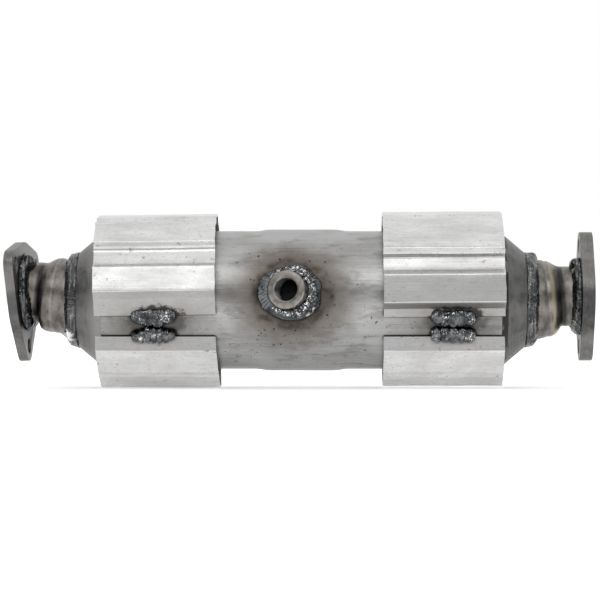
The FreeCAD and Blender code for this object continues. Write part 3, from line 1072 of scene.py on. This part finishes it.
def make_body_steel():
    """Drawn tube: brush lines, grime, scratches, specks, sooty flakes round the boss, and
    painted shade where other pieces meet or overhang it.
    """
    look = Finish("body_steel")
    lines = look.noise((0.012, 1.0, 1.0), size=0.8, detail=5.0, rough=0.75)
    bands = look.noise((0.015, 1.0, 1.0), size=7.0, detail=4.0, rough=0.6)
    cloud = look.noise((0.6, 1.0, 1.0), size=22.0, detail=5.0, rough=0.6)
    grime = look.noise((0.35, 1.0, 1.0), size=9.0, detail=6.0, rough=0.7)
    scratch = look.noise((0.06, 1.0, 1.0), size=1.6, detail=3.0, warp=0.5)
    flakes = look.noise((0.6, 1.0, 1.0), size=8.0, detail=6.0, rough=0.6)
    look.ground(cloud, grey(0.30, 0.02), grey(0.45))
    look.coat(look.between(lines, 0.35, 0.8), 0.6, grey(0.48))
    look.coat(look.between(bands, 0.50, 0.62), 0.3, grey(0.25, 0.02))
    look.coat(look.between(grime, 0.52, 0.64), 0.45, grey(0.17, 0.05))
    look.coat(look.between(scratch, 0.65, 0.69), 0.45, grey(0.15, 0.03))
    look.coat(look.between(scratch, 0.33, 0.29), 0.45, grey(0.60))
    far = look.distance(BOSS_FOOT + Vector((1.0, 0.0, -2.0)), (0.88, 1.0, 1.0))
    edge = look.ragged(far, 16.0, size=14.0, detail=5.0)
    halo = look.between(edge, 58.0, 33.0)
    look.coat(halo, 0.85, grey(0.12, 0.17))
    flaky = look.between(flakes, 0.32, 0.62, 0.35, 0.85)
    look.coat(look.between(edge, 37.0, 31.0), flaky, grey(0.035, 0.20))
    look.coat(scorch(look), 0.8, grey(0.09, 0.10))
    look.coat(charred(look), 0.45, grey(0.018, 0.10))
    # Painted shade where the shields, welds and boss meet or overhang the tube
    look.coat(look.hollow_shade(3.5, alone=False), 0.95, grey(0.010, 0.10))
    specks = look.highest((speckle(look, 2.4, 0.37), speckle(look, 1.3, 0.34)))
    lower = look.between(look.along("Z"), 10.0, -25.0, 0.25, 1.0)
    look.coat(look.times(specks, lower), 0.9, grey(0.04))
    look.bump(look.noise((0.3, 1.0, 1.0), size=6.0), 0.3, 0.15)
    look.bump(lines, 0.45, 0.08)
    return look.done(look.calc("MULTIPLY_ADD", halo, 0.10, look.patchy(cloud, 0.30, 0.42)))


def make_cone_steel():
    """Spun cone: dull grey with fine rings round the axis.

    The left one is paler towards its wide end, and the right one has a painted shadow by its
    seam, beside the shield's end.
    """
    look = Finish("cone_steel")
    rings = look.noise((1.0, 0.03, 0.03), size=0.5)
    cloud = look.noise(size=9.0, detail=5.0)
    x = look.along("X")
    look.ground(cloud, grey(0.08), grey(0.16, 0.03))
    look.coat(look.between(rings, 0.45, 0.8), 0.5, grey(0.25))
    wide_end = look.window(x, -TUBE_END - 15.0, -TUBE_END - 2.0, -1.0, 1.0)
    look.coat(wide_end, 0.85, grey(0.27, 0.02))
    # Painted shadow on the right cone beside the shield's end, where the gap under it is dark
    seam = look.between(look.apart(x, TUBE_END + 1.5), 4.0, 2.5)
    painted_gap_shadow = look.times(seam, look.between(look.noise(size=16.0), 0.45, 0.52))
    look.coat(painted_gap_shadow, 0.85, grey(0.015))
    look.coat(speckle(look, 3.0, 0.40), 0.8, grey(0.04))
    look.bump(rings, 0.4, 0.08)
    return look.done(look.patchy(cloud, 0.34, 0.46))


def make_neck_steel():
    """Swaged pipe: straw and grey heat bands and die marks round the axis, with painted shade
    in the crease and a painted highlight along the swage line.
    """
    look = Finish("neck_steel")
    rings = look.noise((1.0, 0.05, 0.05), size=0.9)
    cloud = look.noise((1.6, 1.0, 1.0), size=10.0, detail=5.0)
    x = look.along("X")
    left = look.between(x, 1.0, -1.0)
    # Distance past the cone tip, on rings that lean a little
    distance = look.calc("SUBTRACT", look.size_of(x), CONE_TIP)
    distance = look.calc("MULTIPLY_ADD", look.along("Z"), 0.10, distance)
    lean = look.times(look.along("Y"), look.times(left, 0.11))
    distance = look.calc("ADD", distance, lean)
    look.ground(cloud, grey(0.085, 0.06), grey(0.23, 0.09))
    swing = look.calc("MULTIPLY_ADD", cloud, 6.0, distance)
    band = look.window(swing, 12.5, 16.0, 17.0, 20.5)
    straw = look.times(band, look.calc("MULTIPLY_ADD", left, -0.7, 0.8))
    look.coat(straw, 0.8, (0.38, 0.33, 0.24, 1.0))
    # Painted shade: a near-black band in the crease where the neck narrows to the pipe
    crease = look.apart(distance, look.calc("MULTIPLY_ADD", left, 0.6, 20.5))
    look.coat(look.between(crease, 3.4, 0.8), 0.85, grey(0.02))
    # Painted highlight: a pale line along the swage line
    swage = look.apart(distance, 10.2)
    look.coat(look.between(swage, 1.4, 0.2), 0.20, grey(0.5, 0.04))
    look.coat(look.between(distance, 28.0, 36.0), 0.6, grey(0.06, -0.04))
    look.bump(look.noise(size=5.0, detail=2.0), 0.4, 0.25)
    look.bump(rings, 0.4, 0.10)
    return look.done(look.patchy(cloud, 0.28, 0.42))


def make_flange_steel():
    """Plate with mill scale and fine edge grain, with painted shade round its bore and a
    painted dark reflection band across its middle height.
    """
    look = Finish("flange_steel")
    cloud = look.noise(size=8.0, detail=5.0, rough=0.6)
    grain = look.noise((1.0, 0.12, 0.12), size=0.5)
    look.ground(cloud, grey(0.13, 0.04), grey(0.20, 0.03))
    look.coat(look.between(grain, 0.45, 0.8), 0.5, grey(0.32, 0.02))
    # Painted reflection: a dark band across the middle height of the rim
    waist = look.size_of(look.calc("MULTIPLY_ADD", cloud, 6.0, look.along("Z")))
    look.coat(look.between(waist, 12.0, 5.0), 0.55, grey(0.06, -0.03))
    # Painted shade on the face round the bore, by the pipe
    from_axis = look.distance(Vector(), (0.0, 1.0, 1.0))
    edge = look.ragged(from_axis, 6.0, size=6.0, detail=4.0)
    look.coat(look.between(edge, 38.0, 32.0), 0.8, grey(0.025, -0.05))
    look.bump(look.noise(size=3.0, detail=4.0), 0.3, 0.12)
    look.bump(grain, 0.3, 0.05)
    return look.done(look.patchy(cloud, 0.34, 0.46))


def weld_glints(look, cloud, seam, calm, from_boss):
    """Mask of small painted glints: thick on the boss weld, thin on the round seams."""
    cluster = look.between(look.noise(size=7.0, detail=1.0), 0.48, 0.60)
    cluster = look.highest((cluster, look.between(from_boss, 20.0, 18.5)))
    spots = look.between(look.noise(size=1.5, detail=1.0, warp=1.2), 0.58, 0.63)
    rim = look.window(from_boss, 18.5, 20.5, 25.0, 27.0)
    thin = look.times(look.spared(seam, 0.75), look.spared(calm))
    thin = look.times(thin, look.spared(rim, 0.85))
    glint = look.times(look.times(cluster, spots), thin)
    # Painted highlights on the drip by the left neck weld and on the blob below the boss
    drips = look.near(Vector((-CONE_TIP - 1.0, -18.0, -24.0)), 9.0, 5.0)
    blob = look.near(BOSS_FOOT + Vector((15.0, -3.0, -15.0)), 5.5, 3.5)
    bright = look.times(look.highest((drips, blob)), look.between(cloud, 0.40, 0.52))
    return look.highest((glint, bright))


def make_weld_metal():
    """Weld bead: dark blue-grey oxide with clusters of small painted glints, and painted shade
    in its crevices and round its foot.

    The round seams by the necks and flanges are plainer, with lines along the seam.
    """
    look = Finish("weld_metal")
    cloud = look.noise(size=6.0)
    lines = look.noise((1.0, 0.10, 0.10), size=1.4, detail=2.0)
    reach = look.size_of(look.along("X"))
    seam = look.between(reach, TUBE_END - 2.0, TUBE_END + 8.0)
    calm = look.near(BOSS_FOOT + Vector((-19.0, -3.0, -1.0)), 13.0, 10.0)
    from_boss = look.distance(BOSS_FOOT)
    glint = weld_glints(look, cloud, seam, calm, from_boss)
    look.ground(cloud, grey(0.05, -0.08), grey(0.17, -0.04), 0.35, 0.65)
    look.coat(calm, 0.7, grey(0.20, -0.07))
    rest = look.times(look.between(from_boss, 27.0, 25.0), look.spared(calm))
    look.coat(rest, 0.55, grey(0.03, -0.06))
    look.coat(seam, 0.65, grey(0.05))
    flange_end = look.between(reach, CONE_TIP + 20.0, CONE_TIP + 28.0)
    look.coat(flange_end, 0.6, grey(0.025, -0.08))
    look.coat(look.times(look.between(lines, 0.50, 0.60), seam), 0.6, grey(0.24))
    # Painted shade in the bead's crevices, and a near-black painted outline where it meets
    # other pieces
    look.coat(look.hollow_shade(2.5), 0.6, grey(0.012))
    look.coat(look.hollow_shade(2.0, alone=False), 0.9, grey(0.008))
    # Painted highlights: the glints are pale spots painted into the colour
    look.coat(glint, 1.0, grey(0.85))
    look.bump(look.noise(size=1.6, detail=2.0), 0.5, 0.20)
    return look.done(look.calc("MULTIPLY_ADD", glint, -0.10, 0.27))


def make_boss_steel():
    """Turned boss: fine rings on its face, a straw-grey oxide, and painted shade in its bore,
    deepest in its upper half.
    """
    look = Finish("boss_steel")
    cloud = look.noise(size=4.0, detail=5.0)
    radius = look.off_axis(BOSS_FOOT, BOSS_AXIS)
    look.ground(cloud, grey(0.18, 0.10), grey(0.33, 0.06))
    # Painted shade in the threaded bore
    bore = look.between(radius, THREAD_R + 0.9, THREAD_R)
    look.coat(bore, 1.0, grey(0.16, -0.05))
    # Painted shade: the upper half of the bore darker still
    upper = look.between(look.along("Z"), BOSS_FOOT.z - 2.0, BOSS_FOOT.z + 2.0)
    look.coat(bore, upper, grey(0.025, -0.05))
    look.bump(look.calc("SINE", look.times(radius, 18.0)), 0.25, 0.02)
    look.bump(look.noise(size=1.5), 0.2, 0.06)
    return look.done(look.patchy(cloud, 0.30, 0.42))


def make_ceramic():
    """Pale porous ceramic, a little darker in patches."""
    look = Finish("cordierite")
    look.ground(
        look.noise(size=9.0, detail=4.0),
        (0.42, 0.37, 0.29, 1.0),
        (0.62, 0.57, 0.48, 1.0),
    )
    look.bump(look.noise(size=0.4, detail=2.0), 0.3, 0.05)
    return look.done(0.9, metallic=0.0)


def make_mat_fibre():
    """Grey-white fibre mat with fine crossing strands and brown flakes."""
    look = Finish("mat_fibre")
    strands = look.noise((0.15, 1.0, 1.0), size=0.6, detail=4.0)
    look.ground(strands, (0.48, 0.46, 0.42, 1.0), (0.72, 0.70, 0.66, 1.0))
    look.coat(look.between(look.noise(size=1.8), 0.62, 0.72), 0.7, (0.40, 0.31, 0.16, 1.0))
    look.bump(strands, 0.6, 0.2)
    return look.done(0.95, metallic=0.0)


FINISHES = {
    "shield_sheet": make_shield_steel,
    "body_steel": make_body_steel,
    "cone_steel": make_cone_steel,
    "neck_steel": make_neck_steel,
    "flange_steel": make_flange_steel,
    "weld_metal": make_weld_metal,
    "boss_steel": make_boss_steel,
    "ceramic": make_ceramic,
    "mat_fibre": make_mat_fibre,
}


def paint_everything():
    """Give each shown piece and CAD node the finish of its material slot."""
    made = {name: maker() for name, maker in FINISHES.items()}
    for thing in frame["nodes"].values():
        slot = thing.material_slots[0].material.name.split(".")[0]
        thing.material_slots[0].material = made[slot]
    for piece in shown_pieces():
        slot = piece.get("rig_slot")
        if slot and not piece.get("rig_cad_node"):
            piece.data.materials.clear()
            piece.data.materials.append(made[slot])


# ------------ studio

# Places and sizes of the studio are in metres
FLOOR_SIZE = 80.0
FLOOR_GAP = 0.0006
FLOOR_GLOW_SEEN = 0.40
FLOOR_GLOW_MIRRORED = 0.36
ROOM_DIM = 0.32
SOFTBOX_PLACE = Vector((0.0, -1.45, 1.15))
SOFTBOX_WIDTH = 2.4
SOFTBOX_HEIGHT = 0.9
SOFTBOX_POWER = 8.6
CAMERA_PLACE = (0.0212, -2.045, 0.0)
CAMERA_LENS = 166.7
CAMERA_SENSOR = 36.0
CAMERA_SHIFT = -0.0516


def make_floor():
    """White floor just under the part, glowing a little in view and in reflections."""
    place = (0.0, 0.0, cad_lo.z - FLOOR_GAP)
    bpy.ops.mesh.primitive_plane_add(size=FLOOR_SIZE, location=place)
    floor = bpy.context.object
    floor.name = "floor"
    look = Finish("floor_paint")
    look.colour = look.mix(look.noise(size=400.0), grey(0.90), grey(0.93))
    path = look.node("ShaderNodeLightPath")
    seen = look.times(path.outputs["Is Camera Ray"], FLOOR_GLOW_SEEN)
    mirrored = path.outputs["Is Glossy Ray"]
    glow = look.calc("MULTIPLY_ADD", mirrored, FLOOR_GLOW_MIRRORED, seen)
    look.plug(look.shader.inputs["Emission Strength"], glow)
    look.plug(look.shader.inputs["Emission Color"], grey(1.0))
    floor.data.materials.append(look.done(0.8, metallic=0.0))


def make_world():
    """White backdrop behind and above, dimmer room on the camera's side."""
    world = bpy.data.worlds.new("studio")
    bpy.context.scene.world = world
    world.use_nodes = True
    room = Nodes(world.node_tree)
    way = room.node("ShaderNodeTexCoord").outputs["Generated"]
    lean = room.calc("ADD", room.part(way, "Z"), room.part(way, "Y"))
    light = room.between(lean, -1.0, 0.7, ROOM_DIM, 1.0)
    seen = room.node("ShaderNodeLightPath").outputs["Is Camera Ray"]
    background = room.tree.nodes["Background"]
    room.plug(background.inputs["Strength"], room.highest((light, seen)))
    room.plug(background.inputs["Color"], grey(1.0))


def make_softbox():
    """Wide softbox up in front of the part, turned towards it."""
    lamp = bpy.data.lights.new("front_softbox", "AREA")
    lamp.shape = "RECTANGLE"
    lamp.size = SOFTBOX_WIDTH
    lamp.size_y = SOFTBOX_HEIGHT
    lamp.energy = SOFTBOX_POWER
    softbox = bpy.data.objects.new("front_softbox", lamp)
    bpy.context.scene.collection.objects.link(softbox)
    softbox.location = SOFTBOX_PLACE
    softbox.rotation_euler = (-SOFTBOX_PLACE).to_track_quat("-Z", "Y").to_euler()


def make_camera():
    """Level camera with a long lens, looking along +Y."""
    lens = bpy.data.cameras.new("camera")
    lens.sensor_width = CAMERA_SENSOR
    lens.lens = CAMERA_LENS
    lens.shift_x = CAMERA_SHIFT
    camera = bpy.data.objects.new("camera", lens)
    bpy.context.scene.collection.objects.link(camera)
    camera.location = CAMERA_PLACE
    camera.rotation_euler = (math.radians(90.0), 0.0, 0.0)
    bpy.context.scene.camera = camera
    bpy.context.scene.view_settings.view_transform = "Standard"


make_camera()
make_body()
make_neck_welds()
make_flange_welds()
make_boss_weld()
make_tacks()
for side in SIDES:
    make_brick(side)
    make_neck(side, side_sign(side) * 4.0)
    make_flange(side)
make_boss()
make_shields()
make_spatter()
paint_everything()
make_floor()
make_world()
make_softbox()
